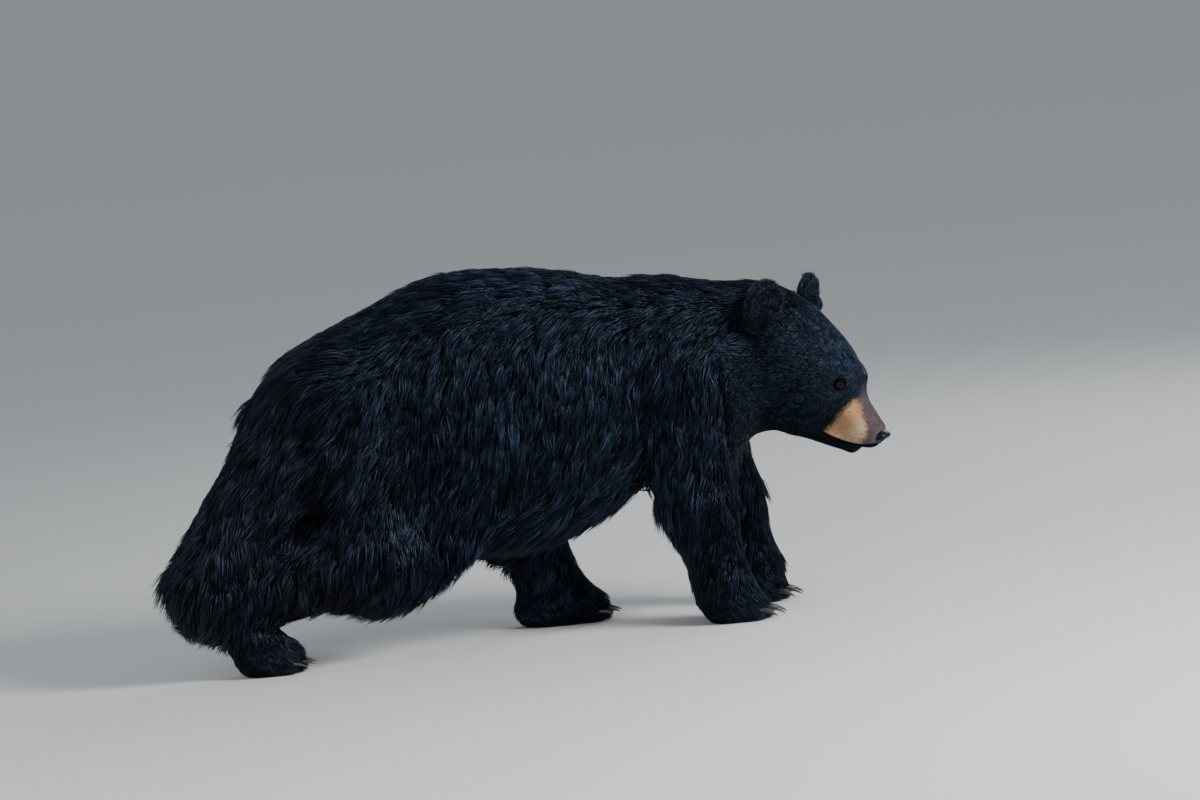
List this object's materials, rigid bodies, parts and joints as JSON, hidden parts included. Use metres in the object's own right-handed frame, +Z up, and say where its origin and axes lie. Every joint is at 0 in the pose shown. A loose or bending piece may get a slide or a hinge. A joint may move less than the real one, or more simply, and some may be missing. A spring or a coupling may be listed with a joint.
{
  "type": "black bear",
  "caption": "American black bear in mid walk with its head lowered and turned to one side, black shaggy coat and tan muzzle, life-size still model",
  "frame": {"origin": "on the floor under the middle of the animal's box", "axes": "+X towards the head, +Y to the animal's left, +Z up"},
  "size_m": [1.4556, 0.4424, 0.7447],
  "materials": {
    "coat": "long glossy black hair, browner over the rump, tan on the sides of the muzzle",
    "nose": "moist black skin with a soft shine",
    "eye": "wet dark brown",
    "claw": "dark horn, satin"
  },
  "bodies": {
    "root": {"head": "coat", "jaw": "coat", "ear_left": "coat", "ear_right": "coat", "eye_left": "eye", "eye_right": "eye", "nose": "nose", "neck": "coat", "trunk": "coat", "tail": "coat", "upper_arm_left": "coat", "upper_arm_right": "coat", "forearm_left": "coat", "forearm_right": "coat", "thigh_left": "coat", "thigh_right": "coat", "shin_left": "coat", "shin_right": "coat", "paw_front_left": "coat", "paw_front_right": "coat", "paw_hind_left": "coat", "paw_hind_right": "coat", "claw_front_left_1": "claw", "claw_front_left_2": "claw", "claw_front_left_3": "claw", "claw_front_left_4": "claw", "claw_front_left_5": "claw", "claw_front_right_1": "claw", "claw_front_right_2": "claw", "claw_front_right_3": "claw", "claw_front_right_4": "claw", "claw_front_right_5": "claw", "claw_hind_left_1": "claw", "claw_hind_left_2": "claw", "claw_hind_left_3": "claw", "claw_hind_left_4": "claw", "claw_hind_left_5": "claw", "claw_hind_right_1": "claw", "claw_hind_right_2": "claw", "claw_hind_right_3": "claw", "claw_hind_right_4": "claw", "claw_hind_right_5": "claw"}
  },
  "joints": []
}
